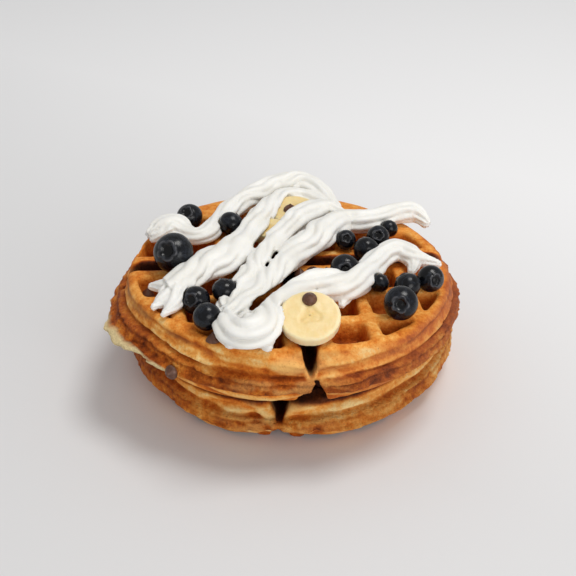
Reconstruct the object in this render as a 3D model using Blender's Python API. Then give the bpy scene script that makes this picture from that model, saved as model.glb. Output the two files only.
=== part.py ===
"""Two round waffles stacked off-centre, topped with piped cream, blueberries, banana slices and chips.

The stack stands on the XY plane, its front towards -Y. Named sizes are in millimetres and become
metres through MM.
"""

import math

import bmesh
import bpy
from mathutils import Matrix, Vector, noise
from mathutils.bvhtree import BVHTree

MM = 0.001
GAP = 0.3  # left between pieces that touch

# The waffle iron: one disc with a rim, a cross groove and a grid of tapered square pockets
UPPER_RADIUS = 84.6  # at the seam, where the two halves of the iron meet, about half-way up the side
LOWER_RADIUS = 83.3
THICKNESS = 28.5
POCKET_CLIP_RADIUS = 73.0  # inner edge of the rim
POCKET_SPANS = ((10.5, 28.0), (33.5, 51.0), (56.5, 74.0))  # from the groove, leaving 5.5 mm ribs
POCKET_CORNER = 3.0
POCKET_TAPER = 0.78  # floor width as a share of the mouth
TOP_POCKET_DEPTH = 11.0
BOTTOM_POCKET_DEPTH = 9.0
SMALLEST_POCKET = 45.0  # square millimetres of mouth
# Half the width of the cross groove at each depth
UPPER_TOP_GROOVE = ((0.0, 3.6), (7.5, 2.7), (12.0, 0.6))
LOWER_TOP_GROOVE = ((0.0, 6.2), (13.5, 0.7))
BOTTOM_GROOVE = ((0.0, 5.4), (8.0, 0.6))
# A wedge out of the upper waffle's lower edge at the front: half-widths by height, how far it is from
# the groove, and how far in it reaches
FRONT_NOTCH = ((0.0, 8.0), (10.0, 6.5), (15.5, 0.6))
FRONT_NOTCH_SHIFT = 4.0
FRONT_NOTCH_REACH = 18.0
OVERRUN = 2.0  # how far a cutter reaches past the face that it cuts

# Side profile from the underside up: share of the thickness, distance out from the seam, and shares of the
# overflowed batter and of the upper half's slide
SIDE_PROFILE = (
    (0.0, -11.0, 0.0, 0.0),
    (0.05, -8.6, 0.0, 0.0),
    (0.16, -6.6, 0.0, 0.0),
    (0.33, -4.0, 0.1, 0.0),
    (0.375, -0.8, 1.0, 0.0),
    (0.42, 0.2, 0.9, 0.0),
    (0.47, -0.6, 0.3, 0.2),
    (0.60, -1.2, 0.1, 0.5),
    (0.65, -4.0, 0.0, 1.0),
    (0.76, -4.8, 0.0, 1.0),
    (0.90, -5.6, 0.0, 1.0),
    (0.965, -6.9, 0.0, 1.0),
    (1.0, -9.3, 0.0, 1.0),
)
SEAM_LEVELS = (0.36, 0.64)  # the ragged band round the seam
SIDE_STEPS = 64
# Batter squeezed out at the seam: how far, its azimuth and half its spread
UPPER_OVERFLOW = (6.5, 207.0, 32.0)
LOWER_OVERFLOW = (1.5, 300.0, 40.0)
# Where a waffle is larger or smaller than round: by how much, the azimuth and half the spread
UPPER_SHAPE = ((-3.0, 165.0, 38.0), (-2.6, 345.0, 35.0), (3.0, 100.0, 55.0))
LOWER_SHAPE = ((-2.0, 212.0, 35.0), (-2.0, 328.0, 35.0))
# Noise round the side, as height and waves round the disc: slow, and ragged at the seam and elsewhere
SLOW_WOBBLE = (1.6, 1.3)
RAGGED_WAVES = 4.0
SEAM_RAGGED = 1.8
WALL_RAGGED = 0.5
UPPER_SEED = 2.0
LOWER_SEED = 7.0
UPPER_SLIDE = (1.2, 0.6)  # how far the waffle's upper half leans over its lower half
LOWER_SLIDE = (0.0, 0.0)

# How the stack lies. A plane is its height on the axis and its slopes towards +X and +Y
UPPER_CENTRE = (1.0, -4.5)
LOWER_CENTRE = (2.6, 6.3)
# The iron's cross, off the disc's centre as the batter ran unevenly: x, y and turn
UPPER_GRID = (-0.6, -1.0, math.radians(8.5))
LOWER_GRID = (-3.0, 9.0, 0.0)
BOX_MIDDLE = (0.19, 0.03)  # of the finished stack, which ends up on the origin
FLOOR_PLANE = (0.0, 0.0, 0.0)
MIDDLE_PLANE = (29.5, 0.008, -0.045)
TOP_PLANE = (57.2, -0.046, -0.039)

# Blueberries: x, y, diameter, and where the crown faces (azimuth, elevation)
BERRIES = (
    (-52.4, -14.5, 19.0, (205, 15)),
    (-49.6, 37.0, 13.5, (150, 40)),
    (-27.6, 23.9, 12.5, (30, 20)),
    (-39.9, -46.8, 13.0, (215, 20)),
    (-33.8, -64.5, 12.5, (120, 10)),
    (-27.2, -41.9, 12.0, (80, 60)),
    (29.9, 13.9, 10.0, (250, 70)),
    (39.1, 3.1, 12.5, (90, 20)),
    (46.0, 17.1, 11.5, (250, 60)),
    (52.6, 29.4, 9.0, (60, 20)),
    (27.8, -18.1, 14.0, (265, 50)),
    (67.4, -24.3, 12.8, (320, 15)),
    (56.0, -31.5, 12.5, (120, 30)),
    (51.2, -49.4, 15.5, (262, 10)),
    (43.6, -27.0, 9.0, (60, 30)),
)
BERRY_STEPS = 12
BERRY_HEIGHT = 0.92  # of its diameter, along the crown's axis
CROWN_DEPTH = 0.10
CROWN_RADIUS = 0.36
GUARD_SHARE = 1.07  # the cream keeps off a ball this much larger

# Banana slices: x, y, height of the centre above the rim, diameter, and how far it leans towards an azimuth
BANANA_SLICES = (
    (10.5, -66.2, 8.6, 26.8, 24.0, 268),
    (3.7, 41.1, 5.7, 25.0, 8.0, 250),
    (-8.5, 21.5, 4.4, 18.0, 4.0, 200),
)
BANANA_THICKNESS = 5.5
BANANA_STEPS = 20

# Strands of piped cream, each from end to end: x, y, width and height
CREAM_STRANDS = (
    (
        (-65.5, 15.5, 8.0, 7.0),
        (-61.5, 20.0, 14.0, 9.0),
        (-56.0, 21.5, 16.0, 10.0),
        (-50.5, 17.5, 12.0, 8.0),
        (-45.5, 13.0, 10.0, 8.0),
        (-40.0, 15.5, 10.0, 8.0),
        (-35.5, 24.5, 11.0, 9.0),
        (-30.5, 38.5, 12.0, 10.0),
        (-24.0, 49.0, 12.0, 11.0),
        (-16.5, 59.5, 13.0, 12.0),
        (-8.5, 68.0, 14.0, 13.0),
        (0.0, 71.5, 15.0, 14.0),
        (8.5, 72.5, 14.0, 14.0),
        (15.5, 67.5, 12.0, 13.0),
        (21.0, 59.0, 11.0, 11.0),
        (24.5, 47.5, 10.0, 10.0),
    ),
    (
        (-59.0, -48.0, 7.0, 6.0),
        (-55.5, -44.5, 14.0, 8.0),
        (-50.5, -39.5, 16.0, 10.0),
        (-45.5, -31.0, 17.0, 11.0),
        (-39.0, -22.0, 19.0, 12.0),
        (-31.0, -13.5, 20.0, 12.0),
        (-24.0, -3.0, 18.0, 12.0),
        (-18.5, 11.0, 15.0, 12.0),
        (-14.5, 26.5, 14.0, 12.0),
        (-9.5, 42.0, 14.0, 12.0),
        (-2.0, 53.5, 14.0, 12.0),
        (7.0, 59.0, 12.0, 11.0),
        (15.5, 55.0, 11.0, 10.0),
        (22.0, 44.5, 10.0, 10.0),
    ),
    (
        (-24.5, -50.0, 11.0, 8.0),
        (-21.5, -41.5, 12.0, 10.0),
        (-17.5, -31.5, 13.0, 11.0),
        (-14.0, -20.0, 13.0, 12.0),
        (-10.0, -7.0, 13.0, 12.0),
        (-5.5, 7.0, 13.0, 12.0),
        (0.0, 20.0, 13.0, 12.0),
        (6.0, 32.0, 14.0, 12.0),
        (13.5, 40.5, 15.0, 12.0),
        (21.0, 43.5, 14.0, 12.0),
        (26.5, 41.5, 11.0, 10.0),
    ),
    (
        (-24.5, -60.5, 11.0, 9.0),
        (-20.0, -55.5, 12.0, 10.0),
        (-15.0, -45.0, 13.0, 10.0),
        (-9.5, -33.5, 14.0, 11.0),
        (-4.0, -23.0, 14.0, 12.0),
        (1.0, -10.0, 15.0, 12.0),
        (7.5, 1.5, 16.0, 12.0),
        (14.5, 11.5, 16.0, 13.0),
        (22.0, 23.0, 16.0, 13.0),
        (30.0, 33.0, 15.0, 12.0),
        (38.5, 33.5, 15.0, 12.0),
        (47.0, 37.5, 14.0, 11.0),
        (55.5, 44.5, 13.0, 11.0),
        (63.5, 47.5, 13.0, 11.0),
        (69.0, 46.5, 10.0, 9.0),
        (72.5, 41.0, 6.0, 6.0),
    ),
    (
        (-27.0, -62.5, 11.0, 9.0),
        (-24.0, -72.0, 15.0, 11.0),
        (-18.0, -76.5, 19.0, 13.0),
        (-12.0, -74.0, 19.0, 14.0),
        (-6.5, -63.5, 18.0, 13.0),
        (-1.0, -51.5, 18.0, 13.0),
        (4.5, -41.5, 18.0, 13.0),
        (11.0, -34.0, 18.0, 13.0),
        (18.5, -33.5, 18.0, 13.0),
        (26.0, -33.5, 17.0, 12.0),
        (32.5, -29.5, 15.0, 12.0),
        (38.5, -19.5, 14.0, 12.0),
        (44.5, -6.5, 12.0, 11.0),
        (50.5, 2.0, 12.0, 11.0),
        (56.5, 4.5, 12.0, 10.0),
        (62.0, 0.0, 11.0, 9.0),
        (68.0, -0.5, 7.0, 6.0),
        (74.0, -2.0, 4.0, 4.0),
    ),
)
STRAND_RIDGES = 5
STRAND_RIDGE_DEPTH = 0.16
STRAND_STEP = 8.0
STRAND_TIP = 0.2  # how far an end is drawn out, as a share of its width

# Chocolate chips that lie on the upper waffle: x and y
WAFFLE_CHIPS = (
    (-65.2, -22.8),
    (-44.1, 23.3),
    (-30.8, -72.3),
    (49.6, -10.3),
    (31.2, 5.8),
    (19.8, -8.8),
    (13.0, -9.5),
    (7.0, -15.5),
    (0.5, -20.0),
    (-11.5, 43.5),
    (-9.6, 51.5),
    (-16.0, 9.5),
)
BANANA_CHIPS = ((0, 10.5, -57.5), (1, 2.2, 40.0))  # the slice that it lies on, x and y
SEAM_CHIP = (233.5, 44.0)  # azimuth and height of the one that sticks in the upper waffle's side
CHIP_WIDTH = 6.6
CHIP_HEIGHT = 4.6
CHIP_SINK = 0.6
CHIP_STEPS = 8


def clear_scene():
    for obj in list(bpy.data.objects):
        bpy.data.objects.remove(obj, do_unlink=True)


def food_material(name, colour, roughness):
    made = bpy.data.materials.new(name)
    made.use_nodes = True
    shader = made.node_tree.nodes["Principled BSDF"]
    shader.inputs["Base Color"].default_value = (*colour, 1.0)
    shader.inputs["Roughness"].default_value = roughness
    shader.inputs["Metallic"].default_value = 0.0
    return made


def add_object(name, bm, material=None):
    """An object from a bmesh whose points are in millimetres."""
    bmesh.ops.recalc_face_normals(bm, faces=bm.faces)
    if bm.calc_volume(signed=True) < 0:
        bmesh.ops.reverse_faces(bm, faces=bm.faces)
    bm.transform(Matrix.Scale(MM, 4))
    mesh = bpy.data.meshes.new(name)
    bm.to_mesh(mesh)
    bm.free()
    obj = bpy.data.objects.new(name, mesh)
    bpy.context.scene.collection.objects.link(obj)
    if material:
        mesh.materials.append(material)
        mesh.shade_smooth()
    return obj


def as_cutter(obj):
    obj.hide_render = True
    obj.display_type = "WIRE"
    return obj


def apply_modifiers(obj):
    graph = bpy.context.evaluated_depsgraph_get()
    baked = bpy.data.meshes.new_from_object(obj.evaluated_get(graph))
    obj.modifiers.clear()
    obj.data = baked


def boolean(obj, operation, others):
    """Cuts or joins the other objects, which are used up."""
    group = bpy.data.collections.new(obj.name + "_" + operation.lower())
    bpy.context.scene.collection.children.link(group)
    for other in others:
        group.objects.link(as_cutter(other))
    step = obj.modifiers.new(operation.title(), "BOOLEAN")
    step.operation = operation
    step.operand_type = "COLLECTION"
    step.collection = group
    step.solver = "EXACT"
    apply_modifiers(obj)
    for other in others:
        bpy.data.objects.remove(other, do_unlink=True)
    bpy.data.collections.remove(group)


def plane_height(plane, x, y):
    return plane[0] + plane[1] * x + plane[2] * y


def ring_faces(bm, rings, closed_ends=True):
    """Quads between rings of points, with a face over each end."""
    loops = [[bm.verts.new(point) for point in ring] for ring in rings]
    count = len(loops[0])
    for lower, upper in zip(loops, loops[1:]):
        for i in range(count):
            j = (i + 1) % count
            bm.faces.new((lower[i], lower[j], upper[j], upper[i]))
    if closed_ends:
        bm.faces.new(loops[0][::-1])
        bm.faces.new(loops[-1])
    return loops


def close_to_point(bm, loop, point):
    tip = bm.verts.new(point)
    for i, corner in enumerate(loop):
        bm.faces.new((loop[i - 1], corner, tip))


def side_wobble(angle, level, seed):
    """How far the side strays from round: slowly all over, and ragged where the batter overflowed."""
    around = Vector((math.cos(angle), math.sin(angle), 0.0))
    height, waves = SLOW_WOBBLE
    slow = height * noise.noise(around * waves + Vector((seed, 0.0, 0.0)))
    low, high = SEAM_LEVELS
    edge = SEAM_RAGGED if low < level < high else WALL_RAGGED
    return slow + edge * noise.noise(around * RAGGED_WAVES + Vector((0.0, seed, level)))


def swell(angle, reach, azimuth, spread):
    """Full at the azimuth and nothing beyond the spread."""
    away = (math.degrees(angle) - azimuth + 180) % 360 - 180
    return reach * math.cos(math.pi / 2 * away / spread) if abs(away) < spread else 0.0


def waffle_disc(seam_radius, shape, overflow, slide, seed):
    bm = bmesh.new()
    rings = []
    for level, offset, overflowed, slid in SIDE_PROFILE:
        ring = []
        for step in range(SIDE_STEPS):
            angle = 2 * math.pi * step / SIDE_STEPS
            radius = seam_radius + offset + overflowed * swell(angle, *overflow)
            radius += side_wobble(angle, level, seed) + sum(swell(angle, *row) for row in shape)
            x = radius * math.cos(angle) + slid * slide[0]
            y = radius * math.sin(angle) + slid * slide[1]
            ring.append((x, y, level * THICKNESS))
        rings.append(ring)
    ring_faces(bm, rings)
    return bm


def rectangle(x_span, y_span, corner):
    """Corners of a rectangle, each rounded by two short sides unless the corner radius is 0."""
    points = []
    for quarter, (sx, sy) in enumerate(((1, 1), (-1, 1), (-1, -1), (1, -1))):
        cx = x_span[sx > 0] - sx * corner
        cy = y_span[sy > 0] - sy * corner
        for step in range(3 if corner else 1):
            angle = math.pi / 2 * (quarter + step / 2)
            points.append(Vector((cx + corner * math.cos(angle), cy + corner * math.sin(angle))))
    return points


def clip_polygon(points, normal, limit):
    """The part of a convex polygon that lies within a limit along a normal."""
    kept = []
    for i, point in enumerate(points):
        following = points[(i + 1) % len(points)]
        here = point.dot(normal) - limit
        there = following.dot(normal) - limit
        if here <= 0:
            kept.append(point)
        if here * there < 0:
            kept.append(point.lerp(following, here / (here - there)))
    return kept


def clip_to_circle(points, radius, sides):
    for side in range(sides):
        angle = 2 * math.pi * side / sides
        points = clip_polygon(points, Vector((math.cos(angle), math.sin(angle))), radius)
        if len(points) < 3:
            return []
    return [p for i, p in enumerate(points) if (p - points[i - 1]).length > 0.7]


def polygon_area(points):
    return abs(sum(points[i - 1].cross(points[i]) for i in range(len(points)))) / 2


def pocket_mouths(turn, offset, shown):
    """Outlines of the pockets in the waffle's own plane, cut off by the rim. Hidden ones are plainer."""
    mouths = []
    for sx in (1, -1):
        for sy in (1, -1):
            for x_near, x_far in POCKET_SPANS:
                for y_near, y_far in POCKET_SPANS:
                    x_span = sorted((sx * x_near, sx * x_far))
                    y_span = sorted((sy * y_near, sy * y_far))
                    square = rectangle(x_span, y_span, POCKET_CORNER if shown else 0.0)
                    square = [turn @ point + offset for point in square]
                    mouth = clip_to_circle(square, POCKET_CLIP_RADIUS, 30 if shown else 18)
                    if len(mouth) > 2 and polygon_area(mouth) > SMALLEST_POCKET:
                        mouths.append(mouth)
    return mouths


def pocket_cutter(name, mouths, face, depth):
    """Tapered plugs that go down from the top face (1) or up from the bottom face (0)."""
    bm = bmesh.new()
    inward = -1 if face else 1
    for mouth in mouths:
        middle = sum(mouth, Vector((0.0, 0.0))) / len(mouth)
        rings = []
        for reach in (-OVERRUN, depth):
            share = 1 + (POCKET_TAPER - 1) * reach / depth
            z = face * THICKNESS + inward * reach
            rings.append([(*(middle + (point - middle) * share), z) for point in mouth])
        ring_faces(bm, rings)
    return as_cutter(add_object(name, bm))


def groove_cutter(name, turn, offset, along, face, groove, inner_end=None):
    """A bar narrower with depth, across the whole disc or from its low side to an inner end."""
    inward = -1 if face else 1
    rows = [(-OVERRUN, groove[0][1]), *groove]
    section = [(-half, face * THICKNESS + inward * depth) for depth, half in rows]
    section += [(half, face * THICKNESS + inward * depth) for depth, half in reversed(rows)]
    reach = UPPER_RADIUS * 1.2
    bm = bmesh.new()
    rings = []
    for end in (-reach, reach if inner_end is None else inner_end):
        ring = []
        for across, z in section:
            flat = Vector((end, across)) if along == "x" else Vector((across, end))
            flat = turn @ flat + offset
            ring.append((*flat, z))
        rings.append(ring)
    ring_faces(bm, rings)
    return as_cutter(add_object(name, bm))


def fit_between(obj, centre, low_plane, high_plane):
    """Moves the disc to its place, its faces onto two planes that need not be parallel."""
    for vertex in obj.data.vertices:
        x = vertex.co.x / MM + centre[0]
        y = vertex.co.y / MM + centre[1]
        low = plane_height(low_plane, x, y)
        high = plane_height(high_plane, x, y)
        z = low + (high - low) * vertex.co.z / MM / THICKNESS
        vertex.co = Vector((x, y, z)) * MM


def make_waffle(name, disc, centre, grid, planes, top_groove, top_shown, notch, material):
    waffle = add_object(name, disc, material)
    turn = Matrix.Rotation(grid[2], 2)
    offset = Vector(grid[:2]) - Vector(centre)
    faces = (
        (1, top_shown, TOP_POCKET_DEPTH, top_groove),
        (0, False, BOTTOM_POCKET_DEPTH, BOTTOM_GROOVE),
    )
    for face, shown, pocket_depth, groove in faces:
        mouths = pocket_mouths(turn, offset, shown)
        boolean(waffle, "DIFFERENCE", [pocket_cutter("pockets", mouths, face, pocket_depth)])
        for along in ("x", "y"):
            boolean(waffle, "DIFFERENCE", [groove_cutter("groove", turn, offset, along, face, groove)])
    if notch:
        offset += turn @ Vector((FRONT_NOTCH_SHIFT, 0.0))
        inner_end = FRONT_NOTCH_REACH - UPPER_RADIUS
        cutter = groove_cutter("notch", turn, offset, "y", 0, notch, inner_end)
        boolean(waffle, "DIFFERENCE", [cutter])
    fit_between(waffle, centre, *planes)
    return waffle


def surface_tree(obj):
    bm = bmesh.new()
    bm.from_mesh(obj.data)
    bm.transform(Matrix.Scale(1 / MM, 4))
    tree = BVHTree.FromBMesh(bm)
    bm.free()
    return tree


def surface_height(tree, x, y):
    hit = tree.ray_cast(Vector((x, y, 500.0)), Vector((0.0, 0.0, -1.0)))[0]
    return hit.z if hit else 0.0


def resting_height(tree, x, y, radius):
    """Height of a ball's centre when it first touches the waffle below it."""
    best = surface_height(tree, x, y) + radius
    for ring in range(1, 9):
        distance = radius * ring / 8
        rise = math.sqrt(max(radius * radius - distance * distance, 0.0))
        for spoke in range(24):
            angle = 2 * math.pi * spoke / 24
            under = surface_height(tree, x + distance * math.cos(angle), y + distance * math.sin(angle))
            best = max(best, under + rise)
    return best


def facing(azimuth, elevation):
    """Rotation that turns +Z towards a direction in degrees."""
    a, e = math.radians(azimuth), math.radians(elevation)
    direction = Vector((math.cos(e) * math.cos(a), math.cos(e) * math.sin(a), math.sin(e)))
    return direction.to_track_quat("Z", "Y").to_matrix().to_4x4()


def lathe(profile, steps):
    """A solid turned round Z from radius and height pairs, the first and last of them on the axis."""
    bm = bmesh.new()
    rings = []
    for radius, z in profile[1:-1]:
        angles = (2 * math.pi * step / steps for step in range(steps))
        rings.append([(radius * math.cos(a), radius * math.sin(a), z) for a in angles])
    loops = ring_faces(bm, rings, closed_ends=False)
    close_to_point(bm, loops[0][::-1], (0.0, 0.0, profile[0][1]))
    close_to_point(bm, loops[-1], (0.0, 0.0, profile[-1][1]))
    return bm


def berry_shape(diameter):
    """A slightly flat ball with a dimple at its crown."""
    radius = diameter / 2
    half = radius * BERRY_HEIGHT
    profile = [(0.0, -half)]
    for step in range(1, 7):
        angle = math.pi * step / 8 - math.pi / 2
        profile.append((radius * math.cos(angle), half * math.sin(angle)))
    profile.append((radius * CROWN_RADIUS, half * 0.97))
    profile.append((0.0, half * (0.97 - 2 * CROWN_DEPTH)))
    return lathe(profile, BERRY_STEPS)


def make_berries(tree, material):
    """The berries, each resting on the waffle. Returns larger plain balls to keep the cream off them."""
    guards = []
    for number, (x, y, diameter, crown) in enumerate(BERRIES, 1):
        z = resting_height(tree, x, y, diameter / 2 + GAP)
        place = Matrix.Translation((x, y, z)) @ facing(*crown)
        bm = berry_shape(diameter)
        bm.transform(place)
        add_object(f"blueberry_{number:02d}", bm, material)
        bm = bmesh.new()
        bmesh.ops.create_icosphere(bm, subdivisions=2, radius=diameter / 2 * GUARD_SHARE + GAP)
        bm.transform(place)
        guards.append(add_object("berry_guard", bm))
    return guards


def banana_shape(diameter, grow=0.0):
    """A thick slice with soft edges, a little oval."""
    radius = diameter / 2 + grow
    half = BANANA_THICKNESS / 2 + grow
    profile = [
        (0.0, -half),
        (radius * 0.90, -half),
        (radius * 0.99, -half * 0.6),
        (radius, half * 0.4),
        (radius * 0.95, half * 0.94),
        (0.0, half),
    ]
    bm = lathe(profile, BANANA_STEPS)
    bm.transform(Matrix.Diagonal((1.0, 0.95, 1.0, 1.0)))
    return bm


def make_bananas(material):
    """The banana slices, and larger copies to keep the cream off them."""
    slices, guards = [], []
    for number, (x, y, height, diameter, lean, azimuth) in enumerate(BANANA_SLICES, 1):
        z = plane_height(TOP_PLANE, x, y) + height
        place = Matrix.Translation((x, y, z)) @ facing(azimuth, 90.0 - lean)
        for name, grow in ((f"banana_slice_{number:02d}", 0.0), ("banana_guard", GAP * 1.3)):
            bm = banana_shape(diameter, grow)
            bm.transform(place)
            (guards if grow else slices).append(add_object(name, bm, material))
    return slices, guards


def smooth_route(stations, spacing):
    """Points of a Catmull-Rom curve through the stations, about a spacing apart."""
    rows = [Vector(station) for station in stations]
    rows = [rows[0] * 2 - rows[1]] + rows + [rows[-1] * 2 - rows[-2]]
    route = []
    for before, start, end, after in zip(rows, rows[1:], rows[2:], rows[3:]):
        steps = max(1, round((end - start).length / spacing))
        for step in range(steps):
            t = step / steps
            route.append(
                0.5
                * (
                    2 * start
                    + (end - before) * t
                    + (2 * before - 5 * start + 4 * end - after) * t**2
                    + (3 * start - before - 3 * end + after) * t**3
                )
            )
    route.append(rows[-2])
    return route


def strand_shape(stations):
    """A ridged tube of cream with a flat underside, closed to a blunt point at both ends."""
    bm = bmesh.new()
    route = smooth_route([Vector(station) for station in stations], STRAND_STEP)
    points = 2 * STRAND_RIDGES
    rings = []
    for i, (x, y, width, height) in enumerate(route):
        ahead = route[min(i + 1, len(route) - 1)] - route[max(i - 1, 0)]
        across = Vector((-ahead[1], ahead[0])).normalized()
        ring = []
        for k in range(points):
            angle = 2 * math.pi * (k + 0.5) / points
            reach = 1.0 if k % 2 else 1.0 - STRAND_RIDGE_DEPTH
            sideways = across * (width / 2 * reach * math.cos(angle))
            px, py = x + sideways.x, y + sideways.y
            floor = plane_height(TOP_PLANE, px, py) + GAP
            z = floor + height / 2 * max(0.0, 1 + reach * math.sin(angle) * 1.1 - 0.1)
            ring.append((px, py, max(z, floor)))
        rings.append(ring)
    loops = ring_faces(bm, rings, closed_ends=False)
    for loop, end, inner in ((loops[0][::-1], route[0], route[1]), (loops[-1], route[-1], route[-2])):
        beyond = end + (end - inner).normalized() * (end[2] * STRAND_TIP)
        tip_height = plane_height(TOP_PLANE, *beyond[:2]) + GAP + end[3] / 3
        close_to_point(bm, loop, (beyond[0], beyond[1], tip_height))
    return bm


def chip_shape(grow=0.0):
    """A drop: round base, drawn to a tip."""
    radius, height = CHIP_WIDTH / 2 + grow, CHIP_HEIGHT + grow
    profile = [
        (0.0, 0.0),
        (radius * 0.92, 0.0),
        (radius, height * 0.18),
        (radius * 0.62, height * 0.62),
        (0.0, height),
    ]
    return lathe(profile, CHIP_STEPS)


def chip_place(tree, x, y):
    return Matrix.Translation((x, y, surface_height(tree, x, y) - CHIP_SINK))


def seam_chip_place(tree):
    azimuth, height = SEAM_CHIP
    outward = Vector((math.cos(math.radians(azimuth)), math.sin(math.radians(azimuth)), 0.0))
    axis = Vector((*UPPER_CENTRE, height))
    hit = tree.ray_cast(axis + outward * 2 * UPPER_RADIUS, -outward)[0]
    return Matrix.Translation(hit - outward * 2 * CHIP_SINK) @ facing(azimuth, 10.0)


def fuse_chips(obj, places):
    """Joins chips to the piece that they lie on, and returns larger copies to keep the cream off them."""
    chips, guards = [], []
    for place in places:
        for made, grow in ((chips, 0.0), (guards, 2 * GAP)):
            bm = chip_shape(grow)
            bm.transform(place)
            made.append(add_object("chip", bm))
    boolean(obj, "UNION", chips)
    return guards


def keep_largest_body(obj):
    """Drops the loose scraps that the cuts left."""
    bm = bmesh.new()
    bm.from_mesh(obj.data)
    left = set(bm.verts)
    bodies = []
    while left:
        body, edge = set(), {next(iter(left))}
        while edge:
            body |= edge
            edge = {e.other_vert(v) for v in edge for e in v.link_edges} - body
        left -= body
        bodies.append(body)
    largest = max(bodies, key=len)
    bmesh.ops.delete(bm, geom=[v for v in bm.verts if v not in largest], context="VERTS")
    bm.to_mesh(obj.data)
    bm.free()


def make_cream(guards, material):
    strands = [add_object("whipped_cream", strand_shape(stations), material) for stations in CREAM_STRANDS]
    cream = strands[0]
    boolean(cream, "UNION", strands[1:])
    boolean(cream, "DIFFERENCE", guards)
    keep_largest_body(cream)
    return cream


def build():
    clear_scene()
    crust = food_material("waffle_crust", (0.52, 0.22, 0.05), 0.7)
    cream = food_material("cream", (0.88, 0.86, 0.80), 0.45)
    berry = food_material("blueberry_skin", (0.02, 0.03, 0.07), 0.4)
    fruit = food_material("banana_flesh", (0.86, 0.70, 0.36), 0.55)

    lower = waffle_disc(LOWER_RADIUS, LOWER_SHAPE, LOWER_OVERFLOW, LOWER_SLIDE, LOWER_SEED)
    lower_planes = (FLOOR_PLANE, MIDDLE_PLANE)
    make_waffle(
        "waffle_lower", lower, LOWER_CENTRE, LOWER_GRID, lower_planes, LOWER_TOP_GROOVE, False, None, crust
    )
    upper = waffle_disc(UPPER_RADIUS, UPPER_SHAPE, UPPER_OVERFLOW, UPPER_SLIDE, UPPER_SEED)
    upper_planes = ((MIDDLE_PLANE[0] + GAP, *MIDDLE_PLANE[1:]), TOP_PLANE)
    upper = make_waffle(
        "waffle_upper",
        upper,
        UPPER_CENTRE,
        UPPER_GRID,
        upper_planes,
        UPPER_TOP_GROOVE,
        True,
        FRONT_NOTCH,
        crust,
    )
    tree = surface_tree(upper)
    chip_places = [chip_place(tree, x, y) for x, y in WAFFLE_CHIPS] + [seam_chip_place(tree)]
    guards = fuse_chips(upper, chip_places)
    guards += make_berries(tree, berry)
    slices, slice_guards = make_bananas(fruit)
    guards += slice_guards
    for index, x, y in BANANA_CHIPS:
        guards += fuse_chips(slices[index], [chip_place(surface_tree(slices[index]), x, y)])
    make_cream(guards, cream)
    for obj in bpy.context.scene.collection.objects:
        obj.data.transform(Matrix.Translation((-BOX_MIDDLE[0] * MM, -BOX_MIDDLE[1] * MM, 0.0)))


build()
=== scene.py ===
"""The waffle stack dressed for its picture: crust, cream, fruit, chips, materials, floor, light and camera.

Sizes are in millimetres and become metres through MM. Plan positions are those of the source part, whose box
was then moved on to the origin by BOX_MIDDLE. Waffles and cream are meshed from fields: distances that are
negative inside. Azimuths, elevations and spreads are in degrees.
"""

import math
from typing import NamedTuple

import bpy
import numpy as np
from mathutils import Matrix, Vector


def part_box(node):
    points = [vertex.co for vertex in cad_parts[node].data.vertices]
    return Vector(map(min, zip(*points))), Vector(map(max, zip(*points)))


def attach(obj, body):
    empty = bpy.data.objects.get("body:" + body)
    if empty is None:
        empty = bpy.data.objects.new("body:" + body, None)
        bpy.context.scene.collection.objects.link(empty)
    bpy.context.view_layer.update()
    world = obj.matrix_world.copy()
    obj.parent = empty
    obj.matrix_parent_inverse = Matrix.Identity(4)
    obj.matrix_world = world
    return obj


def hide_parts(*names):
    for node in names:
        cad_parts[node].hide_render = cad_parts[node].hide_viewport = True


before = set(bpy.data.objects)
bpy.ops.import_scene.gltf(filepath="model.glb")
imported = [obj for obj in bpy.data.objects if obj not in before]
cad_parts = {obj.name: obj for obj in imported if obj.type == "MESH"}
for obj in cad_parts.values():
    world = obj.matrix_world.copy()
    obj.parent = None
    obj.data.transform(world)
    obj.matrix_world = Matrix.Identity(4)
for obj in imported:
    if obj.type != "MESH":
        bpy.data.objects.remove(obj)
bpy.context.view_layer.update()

import openvdb
from mathutils import Matrix, Vector, noise

MM = 0.001
GAP = 0.3
BOX_MIDDLE = (0.19, 0.03)
TAU = 2 * math.pi

# The waffle iron, as in the source part, but with a deeper groove in the lower waffle, a narrower wedge
# missing in front, and a sag of the face between the waffles
THICKNESS = 28.5
POCKET_CLIP_RADIUS = 73.0
POCKET_SPANS = ((10.5, 28.0), (33.5, 51.0), (56.5, 74.0))
POCKET_CORNER = 3.0
POCKET_TAPER = 0.78
TOP_POCKET_DEPTH = 11.0
BOTTOM_POCKET_DEPTH = 9.0
SMALLEST_POCKET = 45.0
# Grooves: depth, and half the width there
UPPER_TOP_GROOVE = ((0.0, 3.6), (7.5, 2.7), (12.0, 0.6))
LOWER_TOP_GROOVE = ((0.0, 7.6), (13.5, 1.3))
BOTTOM_GROOVE = ((0.0, 5.4), (8.0, 0.6))
# Side: level, offset from the radius, share of the overflow, share of the slide
SIDE_PROFILE = (
    (0.0, -11.0, 0.0, 0.0),
    (0.05, -8.6, 0.0, 0.0),
    (0.16, -6.6, 0.0, 0.0),
    (0.33, -4.0, 0.1, 0.0),
    (0.375, -0.8, 1.0, 0.0),
    (0.42, 0.2, 0.9, 0.0),
    (0.47, -0.6, 0.3, 0.2),
    (0.60, -1.2, 0.1, 0.5),
    (0.65, -4.0, 0.0, 1.0),
    (0.76, -4.8, 0.0, 1.0),
    (0.90, -5.6, 0.0, 1.0),
    (0.965, -6.9, 0.0, 1.0),
    (1.0, -9.3, 0.0, 1.0),
)
SEAM_LEVELS = (0.36, 0.64)
SEAM_FADE = 0.03
SLOW_WOBBLE = (1.6, 1.3)
RAGGED_WAVES = 4.0
SEAM_RAGGED = 1.8
WALL_RAGGED = 0.5
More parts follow.
